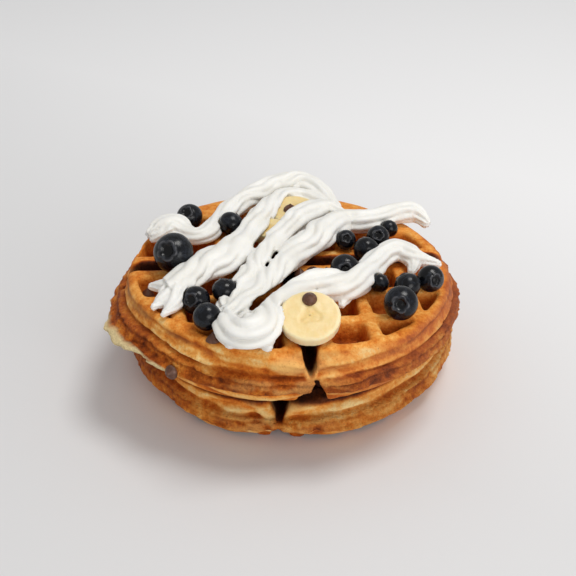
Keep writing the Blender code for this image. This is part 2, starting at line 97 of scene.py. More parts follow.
# Front: wedge (height, and half the width there), small pinch below it, and sag (depth, azimuth, spread)
FRONT_NOTCH = ((0.0, 6.4), (8.0, 5.0), (16.0, 0.9))
FRONT_NOTCH_SHIFT = 2.0
FRONT_NOTCH_REACH = 18.0
PINCH_X = 14.0
FRONT_SAG = (2.8, 268.0, 50.0)


class Waffle(NamedTuple):
    """One waffle.

    grid holds the middle of the iron's cross and its turn, low and high the planes of the faces, and shape
    and overflow how far the side swells, its azimuth and its spread. The side's lines meet at pinch.
    """

    radius: float
    centre: tuple
    grid: tuple
    low: tuple
    high: tuple
    groove: tuple
    shape: tuple
    overflow: tuple
    slide: tuple
    notch: tuple
    pinch: float
    seed: float


# Planes: height at the origin, and slopes along x and y
MIDDLE_PLANE = (29.5, 0.008, -0.045)
TOP_PLANE = (57.2, -0.046, -0.039)
LOWER = Waffle(
    radius=83.3,
    centre=(2.6, 6.3),
    grid=(-3.0, 9.0, 0.0),
    low=(0.0, 0.0, 0.0),
    high=MIDDLE_PLANE,
    groove=LOWER_TOP_GROOVE,
    shape=((-2.0, 212.0, 35.0), (-2.0, 328.0, 35.0)),
    overflow=(1.5, 300.0, 40.0),
    slide=(0.0, 0.0),
    notch=(),
    pinch=266.0,
    seed=7.0,
)
UPPER = Waffle(
    radius=84.6,
    centre=(1.0, -4.5),
    grid=(-0.6, -1.0, math.radians(8.5)),
    low=(MIDDLE_PLANE[0] + GAP, *MIDDLE_PLANE[1:]),
    high=TOP_PLANE,
    groove=UPPER_TOP_GROOVE,
    shape=((-3.0, 165.0, 38.0), (-2.6, 345.0, 35.0), (3.0, 100.0, 55.0)),
    overflow=(6.5, 207.0, 32.0),
    slide=(1.2, 0.6),
    notch=FRONT_NOTCH,
    pinch=278.5,
    seed=2.0,
)
# Relief of the crust: size and height of its lumps, and level, width and height of the lines round the wall
CRUST_LUMPS = ((24.0, 0.4), (8.0, 0.26), (3.0, 0.14))
WALL_LINES = (
    (0.705, 0.03, 0.9), (0.65, 0.022, -1.2), (0.865, 0.03, -0.8), (0.605, 0.022, 0.6), (0.565, 0.02, -0.8),
)
WALL_STARTS = (-12.0, -7.0)
CRACK_HEIGHT, CRAG_HEIGHT = 0.45, 0.4
CREASE_HEIGHT, FOLD_HEIGHT = 0.5, 0.9
FOLD_WAVES = 3.4
FOLDS_AT = (262, 48)
PINCH_WIDTH = 1.6
PINCH_DEPTH, LOW_PINCH_DEPTH = 1.8, 2.2
GATHER, GATHER_REACH = 0.75, 12.0
RELIEF_REACH = 3.2

# Where each side lies as the camera sees it: azimuth and spread
FRONT_SIDE, RIGHT_SIDE, LEFT_SIDE = (262, 60), (345, 75), (190, 60)
STRAW_SIDE = (210, 42)
# How brown the crust is, with painted shade and painted highlights added: 0 is pale dough and 1 nearly black.
# Each share below adds to it or takes from it.
BROWNING_AND_SHADE = {
    "crust": 0.34,
    # Painted shade: darker the deeper a point lies in a pocket
    "pocket_shade": 0.26,
    "ribs": -0.06,
    "rim": -0.03,
    "wall": -0.02,
    "front": -0.02,
    "lower_wall": -0.05,
    "seam": 0.26,
    "shaded_side": 0.1,
    "foot": 0.08,
    "streaks": 0.22,
    # The two swelling shares paint light and shade on the relief: lighter on its bulges, darker in its dips
    "swelling": -0.05,
    "wall_swelling": -0.12,
    # Painted shade inside the groove and the wedge where they cut into the wall
    "cut": 0.55,
    # Painted shade on the lower waffle where the upper waffle lies over it
    "shade_under_upper": 0.6,
}
# Painted shade on the lower waffle under the upper one: levels where it starts and is full, and its fade in
# mm from the upper waffle's edge, negative inside it
UNDER_UPPER_SHADE_LEVELS = (0.76, 0.86)
UNDER_UPPER_SHADE_EDGE = (-5, -1)

UPPER_VOXEL = 0.75
LOWER_VOXEL = 1.1
CREAM_VOXEL = 0.62
RIB_ROUNDING = 2.1
GROOVE_ROUNDING = 1.2

# Blueberries, in the order of their nodes: diameter and where the crown faces (azimuth, elevation)
BERRIES = (
    (19.0, (250, 36)), (13.5, (250, 50)), (12.5, (30, 20)), (13.0, (243, 32)), (12.5, (120, 10)),
    (12.0, (80, 60)), (10.0, (270, 42)), (12.5, (90, 20)), (11.5, (265, 40)), (9.0, (60, 20)),
    (14.0, (270, 28)), (12.8, (292, 20)), (12.5, (120, 30)), (15.5, (260, 27)), (9.0, (60, 30)),
)
BERRY_HEIGHT = 0.92
BERRY_STEPS, BERRY_ROWS = 60, 46
# The crown: angles from its middle, and sizes as shares of the berry's radius
CUP_EDGE = (0.24, 0.40)
LIP_AT, LIP_POINTS, LIP_WIDTH = 0.38, 0.12, 0.05
BERRY_BUMPS, LIP_HEIGHT, CUP_DEPTH = 0.02, 0.09, 0.2

# Banana slices: x, y, height above the rim, diameter, and how far each leans towards an azimuth
BANANA_SLICES = (
    (10.5, -66.2, 8.6, 26.8, 24.0, 268),
    (3.7, 41.1, 5.7, 25.0, 8.0, 250),
    (-8.5, 21.5, 4.4, 18.0, 4.0, 200),
)
BANANA_THICKNESS = 5.5
BANANA_OVAL = 0.95
SLICE_STEPS = 96
FACE_RINGS, EDGE_RINGS, SIDE_RINGS = 22, 6, 8
CORE_DEPTH = 0.35

# Strands of cream: x, y, width and height
CREAM_STRANDS = (
    (
        (-65.5, 15.5, 8, 7), (-61.5, 20, 14, 9), (-56, 21.5, 16, 10), (-50.5, 17.5, 12, 8),
        (-45.5, 13, 10, 8), (-40, 15.5, 10, 8), (-35.5, 24.5, 11, 9), (-30.5, 38.5, 12, 10),
        (-24, 49, 12, 11), (-16.5, 59.5, 13, 12), (-8.5, 68, 14, 13), (0, 71.5, 15, 14),
        (8.5, 72.5, 14, 14), (15.5, 67.5, 12, 13), (21, 59, 11, 11), (24.5, 47.5, 10, 10),
    ),
    (
        (-53.5, -41.5, 8, 7), (-50, -38.5, 14, 9), (-50.5, -39.5, 16, 10), (-45.5, -31, 17, 11),
        (-39, -22, 19, 12), (-31, -13.5, 20, 12), (-24, -3, 18, 12), (-18.5, 11, 15, 12),
        (-14.5, 26.5, 14, 12), (-9.5, 42, 14, 12), (-2, 53.5, 14, 12), (7, 59, 12, 11),
        (15.5, 55, 11, 10), (22, 44.5, 10, 10),
    ),
    (
        (-24.5, -50, 11, 8), (-21.5, -41.5, 12, 10), (-17.5, -31.5, 13, 11), (-14, -20, 13, 12),
        (-10, -7, 13, 12), (-5.5, 7, 13, 12), (0, 20, 13, 12), (6, 32, 14, 12), (13.5, 40.5, 15, 12),
        (21, 43.5, 14, 12), (26.5, 41.5, 11, 10),
    ),
    (
        (-24.5, -60.5, 11, 9), (-20, -55.5, 12, 10), (-15, -45, 13, 10), (-9.5, -33.5, 14, 11),
        (-4, -23, 14, 12), (1, -10, 15, 12), (7.5, 1.5, 16, 12), (14.5, 11.5, 16, 13), (22, 23, 16, 13),
        (30, 33, 15, 12), (38.5, 33.5, 15, 12), (47, 37.5, 14, 11), (55.5, 44.5, 13, 11),
        (63.5, 47.5, 13, 11), (69, 46.5, 10, 9), (72.5, 41, 6, 6),
    ),
    (
        (-27, -62.5, 11, 9), (-24, -72, 15, 11), (-18, -76.5, 19, 13), (-12, -74, 19, 14),
        (-6.5, -63.5, 18, 13), (-1, -51.5, 18, 13), (4.5, -41.5, 18, 13), (11, -34, 18, 13),
        (18.5, -33.5, 18, 13), (26, -33.5, 17, 12), (32.5, -29.5, 15, 12), (38.5, -19.5, 14, 12),
        (44.5, -6.5, 12, 11), (50.5, 2, 12, 11), (56.5, 4.5, 12, 10), (62, 0, 11, 9), (68, -0.5, 7, 6),
        (74, -2, 4, 4),
    ),
)
# Short drawn-out tips, with rows as above
CREAM_TIPS = (
    ((-48.5, -37.5, 10, 8), (-54.5, -36, 8, 7), (-61, -34, 4, 4)),
    ((-49.5, -42, 11, 8), (-54.5, -47.5, 8, 6), (-58.5, -52, 3, 4)),
    ((-48, -44.5, 12, 9), (-50, -51.5, 8, 6), (-53.5, -57, 3, 3)),
    ((-45.5, -39, 12, 9), (-46.5, -45.5, 9, 7), (-47, -48.5, 5, 4)),
    ((-21, -72.5, 10, 9), (-23, -77, 7, 6), (-23.5, -80, 4, 4)),
    ((-10, -75.5, 12, 9), (-8, -79.5, 8, 6), (-7.5, -80.5, 5, 4)),
    ((27, -32.5, 12, 8), (27, -38, 7, 5), (25.5, -43.5, 4, 4)),
    ((60.5, 1, 11, 8), (61.5, -5, 8, 6), (60.5, -10, 5, 4)),
    ((-26.5, -52.5, 9, 8), (-27.5, -43, 6, 6), (-27.5, -35, 3, 4)),
    ((-59.5, 16, 11, 8), (-62.5, 13.5, 7, 6), (-65.5, 12, 4, 4)),
)
# Narrow gaps between the strands, open along the camera's line of sight: x, y at GAP_HEIGHT, half the width
CREAM_GAPS = (
    (
        (15.5, -14, 1.5), (9, -18.5, 1.3), (3.5, -24.5, 1.2), (-2.5, -33.5, 0.9), (-8, -41, 1.1),
        (-12.5, -47.5, 1.7), (-15, -52.5, 1.1),
    ),
    ((-11, 11, 1.5), (-14.5, 2, 1.3)),
    ((-4.5, -4.5, 0.9), (-6.5, -9.5, 0.8)),
    ((-8, -14, 0.7), (-9, -16.5, 0.6)),
)
GAP_HEIGHT = 64.0
FORESHORTENING = 0.54
CREAM_BOX = ((-74.0, -86.0, 47.0), (82.0, 80.0, 80.0))
CREAM_LOBES = 7
LOBE_DEPTH = 0.2
ROUTE_STEP = 0.7
RAGGED_END = 9.0

# Chocolate chips: x and y on the waffle, slice with x and y, and azimuth with height at the seam
WAFFLE_CHIPS = (
    (-65.2, -22.8), (-44.1, 23.3), (-30.8, -72.3), (49.6, -10.3), (31.2, 5.8), (19.8, -8.8),
    (13.0, -9.5), (7.0, -15.5), (0.5, -20.0), (-11.5, 43.5), (-9.6, 51.5), (-16.0, 9.5),
)
BANANA_CHIPS = ((0, 10.5, -57.5), (1, 2.2, 40.0))
SEAM_CHIP = (233.5, 44.0)
CHIP_WIDTH = 6.6
CHIP_HEIGHT = 4.6
CHIP_SINK = 0.6
CHIP_STEPS = 20
# Outline of a chip from the middle of its base to its tip: shares of half the width and of the height
CHIP_OUTLINE = (
    (0.02, 0.0), (0.5, 0.0), (0.88, 0.02), (1.0, 0.10), (0.99, 0.22), (0.90, 0.36), (0.74, 0.50),
    (0.54, 0.63), (0.34, 0.75), (0.19, 0.87), (0.11, 0.95), (0.02, 1.0),
)

# Camera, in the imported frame
CAMERA_TARGET = (1.1 - BOX_MIDDLE[0], 64.6 - BOX_MIDDLE[1], 0.0)
CAMERA_DISTANCE = 600.0
CAMERA_PITCH = math.radians(32.5)
CAMERA_LENS = 66.06

# Lights, in metres and watts: name, place, size, power and colour
LIGHTS = (
    ("key", (0.38, 0.05, 1.25), 0.55, 7.3, (1.0, 0.985, 0.96)),
    ("fill", (0.6, -1.15, 0.5), 0.8, 5.5, (1.0, 0.99, 0.98)),
)
LIGHTS_AIM = (0.0, 0.0, 0.04)
SKY_STRENGTH = 0.5
FLOOR_HALF = 8.0


def smoothstep(low, high, value):
    t = np.clip((value - low) / (high - low), 0.0, 1.0)
    return t * t * (3 - 2 * t)


def band(low, full, fading, gone, value):
    """Full between the middle two places, and nothing beyond the outer two."""
    return smoothstep(low, full, value) * (1 - smoothstep(fading, gone, value))


def smooth_max(a, b, rounding):
    """The larger of two fields, blended where they are close."""
    share = np.clip(0.5 + (a - b) / (2 * rounding), 0.0, 1.0)
    return b + (a - b) * share + rounding * share * (1 - share)


def smooth_min(a, b, rounding):
    return -smooth_max(-a, -b, rounding)


def lattice(ix, iy, iz, seed):
    """A repeatable number from -1 to 1 for each lattice point."""
    h = (ix * 374761393 + iy * 668265263 + iz * 1442695041 + seed * 1274126177) & 0xFFFFFFFF
    h = ((h ^ (h >> 13)) * 1274126177) & 0xFFFFFFFF
    h = (h ^ (h >> 16)) & 0xFFFF
    return h / 32767.5 - 1.0


def lumps(x, y, z, size, seed):
    """Smooth noise from -1 to 1 whose lumps are about a size across."""
    cells, shares = [], []
    for values in (x, y, z):
        scaled = np.asarray(values, float) / size
        cell = np.floor(scaled).astype(np.int64)
        share = scaled - cell
        cells.append(cell)
        shares.append(share * share * (3 - 2 * share))
    total = 0.0
    for corner in range(8):
        dx, dy, dz = corner & 1, corner >> 1 & 1, corner >> 2 & 1
        weight = 1.0
        for share, step in zip(shares, (dx, dy, dz)):
            weight = weight * (share if step else 1 - share)
        total = total + weight * lattice(cells[0] + dx, cells[1] + dy, cells[2] + dz, seed)
    return total


def mesh_from_values(values, low, voxel):
    """Points (mm) and quads of the surface where the values on a grid change sign."""
    grid = openvdb.FloatGrid(3.0)
    grid.copyFromArray(np.clip(values / voxel, -3, 3).astype(np.float32))
    points, quads = grid.convertToQuads(0.0)
    return np.asarray(points, float) * voxel + np.array(low), quads


def add_piece(name, points, faces, material, replaced, attributes=None):
    """A smooth mesh piece from points in millimetres, in the source part's place."""
    mesh = bpy.data.meshes.new(name)
    moved = (np.asarray(points, float) - (*BOX_MIDDLE, 0.0)) * MM
    faces = np.asarray(faces, np.int64)
    corners = faces.shape[1]
    mesh.vertices.add(len(moved))
    mesh.vertices.foreach_set("co", moved.ravel())
    mesh.loops.add(faces.size)
    mesh.loops.foreach_set("vertex_index", faces.ravel())
    mesh.polygons.add(len(faces))
    mesh.polygons.foreach_set("loop_start", np.arange(0, faces.size, corners))
    mesh.update(calc_edges=True)
    mesh.validate()
    for attribute, values in (attributes or {}).items():
        layer = mesh.attributes.new(attribute, "FLOAT", "POINT")
        layer.data.foreach_set("value", np.asarray(values, np.float32))
    mesh.shade_smooth()
    mesh.materials.append(material)
    obj = bpy.data.objects.new(name, mesh)
    bpy.context.scene.collection.objects.link(obj)
    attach(obj, "root")
    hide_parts(*replaced)
    return obj


def plane_height(plane, x, y):
    return plane[0] + plane[1] * x + plane[2] * y


# Waffles
ANGLE_STEPS = 256
LEVEL_STEPS = 12


def wobble_tables(w):
    """The source part's noise round the side: slow, and ragged at each level."""
    slow, ragged = np.zeros(ANGLE_STEPS), np.zeros((ANGLE_STEPS, LEVEL_STEPS + 1))
    for i in range(ANGLE_STEPS):
        angle = TAU * i / ANGLE_STEPS
        around = Vector((math.cos(angle), math.sin(angle), 0.0))
        slow[i] = noise.noise(around * SLOW_WOBBLE[1] + Vector((w.seed, 0.0, 0.0)))
        for j in range(LEVEL_STEPS + 1):
            ragged[i, j] = noise.noise(around * RAGGED_WAVES + Vector((0.0, w.seed, j / LEVEL_STEPS)))
    return slow, ragged


TABLES = {w: wobble_tables(w) for w in (UPPER, LOWER)}
TABLE_ANGLES = np.linspace(0, TAU, 4 * ANGLE_STEPS, endpoint=False)


def round_lumps(w, size, seed):
    """Noise round a waffle's side, as values at TABLE_ANGLES."""
    x, y = np.cos(TABLE_ANGLES) * w.radius, np.sin(TABLE_ANGLES) * w.radius
    return lumps(x, y, 0 * x, size, seed)


def drift_table(w):
    """How far the lines round the side wander up and down, in levels."""
    seed = int(w.seed)
    return 0.030 * round_lumps(w, 26.0, seed + 6) + 0.014 * round_lumps(w, 9.0, seed + 7)


DRIFT = {w: drift_table(w) for w in TABLES}
FRILL = {w: 1 + 0.35 * round_lumps(w, 8.0, 41) for w in TABLES}


def side_wobble(w, angle, level):
    slow, ragged = TABLES[w]
    i = np.round(angle / TAU * ANGLE_STEPS).astype(int) % ANGLE_STEPS
    j = np.clip(np.round(level * LEVEL_STEPS).astype(int), 0, LEVEL_STEPS)
    low, high = SEAM_LEVELS
    seam = band(low - SEAM_FADE, low + SEAM_FADE, high - SEAM_FADE, high + SEAM_FADE, level)
    return SLOW_WOBBLE[0] * slow[i] + (WALL_RAGGED + (SEAM_RAGGED - WALL_RAGGED) * seam) * ragged[i, j]


def degrees_from(azimuth, angle):
    return (np.degrees(angle) - azimuth + 180) % 360 - 180


def swell(angle, azimuth, spread):
    """Full at an azimuth and nothing beyond its spread."""
    away = degrees_from(azimuth, angle)
    return np.where(np.abs(away) < spread, np.cos(np.pi / 2 * away / spread), 0.0)


def around(w, x, y, z):
    """Radius, angle and level (0 to 1) of points in a waffle's level frame."""
    level = z / THICKNESS
    slid = np.interp(level, [row[0] for row in SIDE_PROFILE], [row[3] for row in SIDE_PROFILE])
    dx, dy = x - w.centre[0] - slid * w.slide[0], y - w.centre[1] - slid * w.slide[1]
    return np.hypot(dx, dy), np.arctan2(dy, dx), level


def from_pinch(w, angle):
    """Distance along the wall from where its lines run together in front."""
    return np.radians(degrees_from(w.pinch, angle)) * w.radius


def wavy_level(w, angle, level):
    """The level, with the lines round the side made to wander and to run together at the pinch in front."""
    drift = np.interp(angle, TABLE_ANGLES, DRIFT[w], period=TAU)
    waved = level + drift * band(0.0, 0.3, 0.8, 1.0, level)
    return 0.5 + (waved - 0.5) * (1 + GATHER * np.exp(-np.abs(from_pinch(w, angle)) / GATHER_REACH))


def side_radius(w, angle, level):
    levels = [row[0] for row in SIDE_PROFILE]
    waved = wavy_level(w, angle, level)
    offset = np.interp(waved, levels, [row[1] for row in SIDE_PROFILE])
    overflowed = np.interp(waved, levels, [row[2] for row in SIDE_PROFILE])
    reach, azimuth, spread = w.overflow
    frill = np.interp(angle, TABLE_ANGLES, FRILL[w], period=TAU)
    radius = w.radius + offset + overflowed * reach * frill * swell(angle, azimuth, spread)
    for change, azimuth, spread in w.shape:
        radius = radius + change * swell(angle, azimuth, spread)
    return radius + side_wobble(w, angle, level)


def kept_cells(w):
    """Which pockets are large enough, by side of the cross and span."""
    turn = w.grid[2]
    kept = np.zeros((2, 2, 3, 3), bool)
    for sx in (0, 1):
        for sy in (0, 1):
            for i, (u0, u1) in enumerate(POCKET_SPANS):
                for j, (v0, v1) in enumerate(POCKET_SPANS):
                    u, v = np.meshgrid(np.arange(u0, u1, 0.5), np.arange(v0, v1, 0.5))
                    u, v = u * (1 if sx else -1), v * (1 if sy else -1)
                    x = math.cos(turn) * u - math.sin(turn) * v + w.grid[0] - w.centre[0]
                    y = math.sin(turn) * u + math.cos(turn) * v + w.grid[1] - w.centre[1]
                    kept[sx, sy, i, j] = (np.hypot(x, y) < POCKET_CLIP_RADIUS).sum() / 4 > SMALLEST_POCKET
    return kept


def on_grid(w, x, y):
    """Places along the two arms of the iron's cross, which isn't quite straight in the baked waffle."""
    dx = x - w.grid[0] + 0.7 * lumps(x, y, 0 * x, 13.0, 31)
    dy = y - w.grid[1] + 0.7 * lumps(x, y, 0 * x, 13.0, 32)
    cosine, sine = math.cos(w.grid[2]), math.sin(w.grid[2])
    return cosine * dx + sine * dy, cosine * dy - sine * dx


def pocket_field(w, x, y, depth, deepest):
    """Outside the nearest pocket of one face, at a depth below that face."""
    u, v = on_grid(w, x, y)
    share = 1 + (POCKET_TAPER - 1) * np.clip(depth / deepest, -0.2, 1.0)
    reaches, spans = [], []
    for place in (np.abs(u), np.abs(v)):
        best = np.full(place.shape, 99.0)
        span = np.zeros(place.shape, int)
        for i, (near, far) in enumerate(POCKET_SPANS):
            outside = np.abs(place - (near + far) / 2) - (far - near) / 2 * share
            closer = outside < best
            best = np.where(closer, outside, best)
            span = np.where(closer, i, span)
        reaches.append(best + POCKET_CORNER)
        spans.append(span)
    du, dv = reaches
    square = np.hypot(np.maximum(du, 0), np.maximum(dv, 0)) + np.minimum(np.maximum(du, dv), 0)
    square -= POCKET_CORNER
    kept = kept_cells(w)[(u > 0).astype(int), (v > 0).astype(int), spans[0], spans[1]]
    square = np.where(kept, square, 9.0)
    radius = np.hypot(x - w.centre[0], y - w.centre[1])
    field = smooth_max(square, radius - POCKET_CLIP_RADIUS + (1 - share) * 9.0, 2.5)
    return smooth_max(field, depth - deepest, 2.6)


def groove_field(w, x, y, depth, groove):
    u, v = on_grid(w, x, y)
    depths, halves = zip(*groove)
    half = np.interp(depth, depths, halves)
    nearest = np.minimum(np.abs(u), np.abs(v)) - half
    return smooth_max(nearest * 0.93, depth - depths[-1], 0.8)


def notch_field(w, x, y, z):
    """The wedge missing from the lower edge at the front."""
    u, v = on_grid(w, x, y)
    heights, halves = zip(*w.notch)
    across = np.abs(u - FRONT_NOTCH_SHIFT) - np.interp(z, heights, halves)
    return smooth_max(smooth_max(across * 0.85, z - heights[-1], 0.8), v + w.radius - FRONT_NOTCH_REACH, 2.0)


def ridge(level, at, width):
    return np.exp(-(((level - at) / width) ** 2))


def cut_field(w, x, y, z):
    """Outside the cuts that show in the wall: the groove, and the wedge in the lower edge."""
    cut = groove_field(w, x, y, THICKNESS - z, w.groove)
    return np.minimum(cut, notch_field(w, x, y, z)) if w.notch else cut


def relief(w, x, y, z):
    """How far the surface swells beyond the plain form.

    Lumps everywhere, lines and creases round the wall, crags at the seam, and folds and a pinch in front.
    """
    radius, angle, level = around(w, x, y, z)
    seed = int(w.seed)
    out = sum(height * lumps(x, y, z, size, seed + i) for i, (size, height) in enumerate(CRUST_LUMPS))
    outer = smoothstep(*WALL_STARTS, radius - w.radius) * smoothstep(0.0, 3.0, cut_field(w, x, y, z))
    line = wavy_level(w, angle, level)
    seam = band(0.33, 0.4, 0.58, 0.65, line) * outer
    cracks = 1 - 2 * np.abs(lumps(x, y, z * 1.6, 4.0, seed + 3))
    crags = CRACK_HEIGHT * cracks + CRAG_HEIGHT * lumps(x, y, z, 2.0, seed + 4)
    wall = band(0.04, 0.12, 0.9, 0.97, line) * outer
    creases = 0.3 - 0.9 * ridge(lumps(x, y, z * 2.6, 15.0, seed + 8), 0.0, 0.12)
    strength = 0.7 + 0.3 * lumps(x, y, 0 * z, 22.0, seed + 9)
    lines = sum(height * ridge(line, at, width) for at, width, height in WALL_LINES)
    drift = lumps(np.cos(angle) * w.radius, np.sin(angle) * w.radius, z * 0.3, 26.0, seed + 5)
    folds = np.sin(TAU * (level * FOLD_WAVES + drift)) * swell(angle, *FOLDS_AT) * (1 - 0.5 * seam)
    out = out + seam * crags + wall * (CREASE_HEIGHT * creases + strength * lines + FOLD_HEIGHT * folds)
    out = out - PINCH_DEPTH * ridge(from_pinch(w, angle), 0.0, PINCH_WIDTH) * wall
    if w is LOWER:
        foot = band(0.02, 0.1, 0.4, 0.55, level) * (y < w.centre[1] - 60) * outer
        out = out - LOW_PINCH_DEPTH * ridge(x, PINCH_X, PINCH_WIDTH) * foot
    return out


def waffle_field(w, x, y, z):
    radius, angle, level = around(w, x, y, z)
    side = (radius - side_radius(w, angle, np.clip(level, 0, 1))) * 0.9
    body = smooth_max(side, np.maximum(z - THICKNESS, -z), 2.2)
    top, bottom = THICKNESS - z, z
    body = smooth_max(body, -pocket_field(w, x, y, top, TOP_POCKET_DEPTH), RIB_ROUNDING)
    body = smooth_max(body, -pocket_field(w, x, y, bottom, BOTTOM_POCKET_DEPTH), 1.2)
    body = smooth_max(body, -groove_field(w, x, y, bottom, BOTTOM_GROOVE), 1.2)
    body = smooth_max(body, -cut_field(w, x, y, z), GROOVE_ROUNDING)
    near = np.abs(body) < RELIEF_REACH
    body[near] -= relief(w, *(values[near] for values in np.broadcast_arrays(x, y, z)))
    return body


def face_heights(w, x, y):
    """Heights of a waffle's faces. The one that the two waffles share sags a little in front."""
    depth, azimuth, spread = FRONT_SAG
    sag = depth * swell(np.arctan2(y, x), azimuth, spread) * smoothstep(35.0, 75.0, np.hypot(x, y))
    low, high = plane_height(w.low, x, y), plane_height(w.high, x, y)
    return (low, high - sag) if w is LOWER else (low - sag, high)


def fit_between(w, points):
    """From a waffle's level frame to its place between its two faces."""
    low, high = face_heights(w, points[:, 0], points[:, 1])
    fitted = points.copy()
    fitted[:, 2] = np.maximum(low + (high - low) * points[:, 2] / THICKNESS, 0.0)
    return fitted


def covered_reach(x, y):
    """Outside the upper waffle, seen from above."""
    return np.hypot(x - UPPER.centre[0], y - UPPER.centre[1]) - UPPER.radius


def crust_attributes(w, points):
    """What the crust's colours follow at each point."""
    x, y, z = points.T
    radius, angle, level = around(w, x, y, z)
    seed, lower = int(w.seed), float(w is LOWER)
    line = wavy_level(w, angle, level)
    front, right, left = (swell(angle, *side) for side in (FRONT_SIDE, RIGHT_SIDE, LEFT_SIDE))
    inside = 1 - smoothstep(-2.5, 2.0, radius - POCKET_CLIP_RADIUS)
    # Painted shade: darker the deeper a point lies in a pocket
    pocket_shade = np.clip((THICKNESS - z) / TOP_POCKET_DEPTH, 0, 1) * inside
    wall = smoothstep(-13.0, -9.0, radius - w.radius) * (1 - smoothstep(0.93, 0.99, level))
    seam = band(0.33, 0.40, 0.60, 0.66, line) * wall
    # Painted shade: dark lines along the creases round the wall
    crease_shade = ridge(line, 0.65, 0.025) + 0.8 * ridge(line, 0.565, 0.022) + 0.45 * ridge(line, 0.865, 0.03)
    frill = 0.375 + 0.025 * lumps(x, y, 0 * z, 7.0, seed + 13)
    straw = ridge(line, frill, 0.07) * smoothstep(0.2, 2.0, radius - w.radius) * swell(angle, *STRAW_SIDE)
    streaks = 0.5 * lumps(x, y, z * 4.5, 16.0, seed + 14) + 0.5 * lumps(x, y, z * 4.0, 7.0, seed + 15)
    swelling = np.clip(relief(w, x, y, z), -1.2, 1.2)
    inward = side_radius(w, angle, np.clip(level, 0, 1)) - radius
    # Painted shade inside the groove and the wedge where they cut into the wall
    shade_in_cuts = (1 - smoothstep(0.3, 2.0, np.abs(cut_field(w, x, y, z)))) * smoothstep(0.8, 4.0, inward)
    # Painted shade on the lower waffle where the upper waffle lies over it
    shade_under_upper = lower * smoothstep(*UNDER_UPPER_SHADE_LEVELS, level)
    shade_under_upper = shade_under_upper * (1 - smoothstep(*UNDER_UPPER_SHADE_EDGE, covered_reach(x, y)))
    shares = {
        "crust": 1.0,
        "pocket_shade": pocket_shade,
        "ribs": inside * (1 - pocket_shade),
        "rim": (1 - wall) * (1 - inside),
        "wall": wall,
        "front": wall * front,
        "lower_wall": wall * lower,
        "seam": seam * (1 - 0.45 * right - 0.25 * lower),
        "shaded_side": wall * (left if w is LOWER else right),
        "foot": wall * (1 - smoothstep(0.05, 0.3, level)),
        "streaks": wall * streaks,
        # Painted light and shade on the relief: lighter on its bulges, darker in its dips
        "swelling": swelling,
        "wall_swelling": wall * swelling,
        "cut": shade_in_cuts,
        "shade_under_upper": shade_under_upper,
    }
    near_groove = swell(angle, w.pinch - (10 if w is UPPER else 0), 22) * wall
    pale = near_groove * smoothstep(-0.2, 0.7, lumps(x, y, z * 2.5, 10.0, seed + 16) + 0.8 * swelling)
    olive = ridge(line, 0.83, 0.07) * wall * (0.8 * left + 0.2) * smoothstep(-0.2, 0.5, streaks)
    # Mauve tone on the right of the wall, and a painted highlight along the ridge at level 0.61 on the left
    mauve_and_highlight = (0.3 if w is LOWER else 0.85) * right + 0.3 * left * ridge(line, 0.61, 0.03)
    return {
        "bake_and_shade": sum(BROWNING_AND_SHADE[name] * share for name, share in shares.items()),
        "crease_shade": np.clip(crease_shade, 0, 1) * wall * (0.75 + 0.4 * streaks),
        "straw": straw * (1 - lower),
        "pale": pale * (1 - 0.4 * seam) * (1 - shade_under_upper),
        "mauve_and_highlight": np.clip(wall * mauve_and_highlight, 0, 1),
        "seam": seam,
        "shade_under_upper": shade_under_upper,
        "olive": olive * (1 - lower),
    }


def make_waffle(name, w, voxel, material):
    reach = w.radius + 8.0
    low = (w.centre[0] - reach, w.centre[1] - reach, -3.0)
    high = (w.centre[0] + reach, w.centre[1] + reach, THICKNESS + 3.0)
    axes = [np.arange(a, b + voxel, voxel) for a, b in zip(low, high)]
    values = waffle_field(w, *np.meshgrid(*axes, indexing="ij", sparse=True))
    points, quads = mesh_from_values(values, low, voxel)
    attributes = crust_attributes(w, points)
    replaced = [name.replace("crust", "waffle")]
    return add_piece(name, fit_between(w, points), quads, material, replaced, attributes)


# Fruit and chips
def facing(azimuth, elevation):
    """Rotation that turns +Z towards a direction in degrees."""
    a, e = math.radians(azimuth), math.radians(elevation)
    direction = Vector((math.cos(e) * math.cos(a), math.cos(e) * math.sin(a), math.sin(e)))
    return direction.to_track_quat("Z", "Y").to_matrix().to_4x4()


def moved_by(place, points):
    rotation, shift = np.array(place.to_3x3()), np.array(place.translation)
    return points @ rotation.T + shift


def lathe_points(radii, heights, steps):
    """Rows of points round Z, one row to each radius and height."""
    angle = TAU * np.arange(steps) / steps
    radius, height = np.array(radii)[:, None], np.array(heights)[:, None]
    return np.stack([radius * np.cos(angle), radius * np.sin(angle), height + 0 * angle], axis=-1)


def lathe_faces(rows, steps):
    row, step = np.meshgrid(np.arange(rows - 1), np.arange(steps), indexing="ij")
    here, there = row * steps + step, row * steps + (step + 1) % steps
    return np.stack([here, there, there + steps, here + steps], axis=-1).reshape(-1, 4)


def berry_centre(number):
    low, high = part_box(f"blueberry_{number:02d}")
    return (low + high) / 2 / MM + Vector((*BOX_MIDDLE, 0.0))


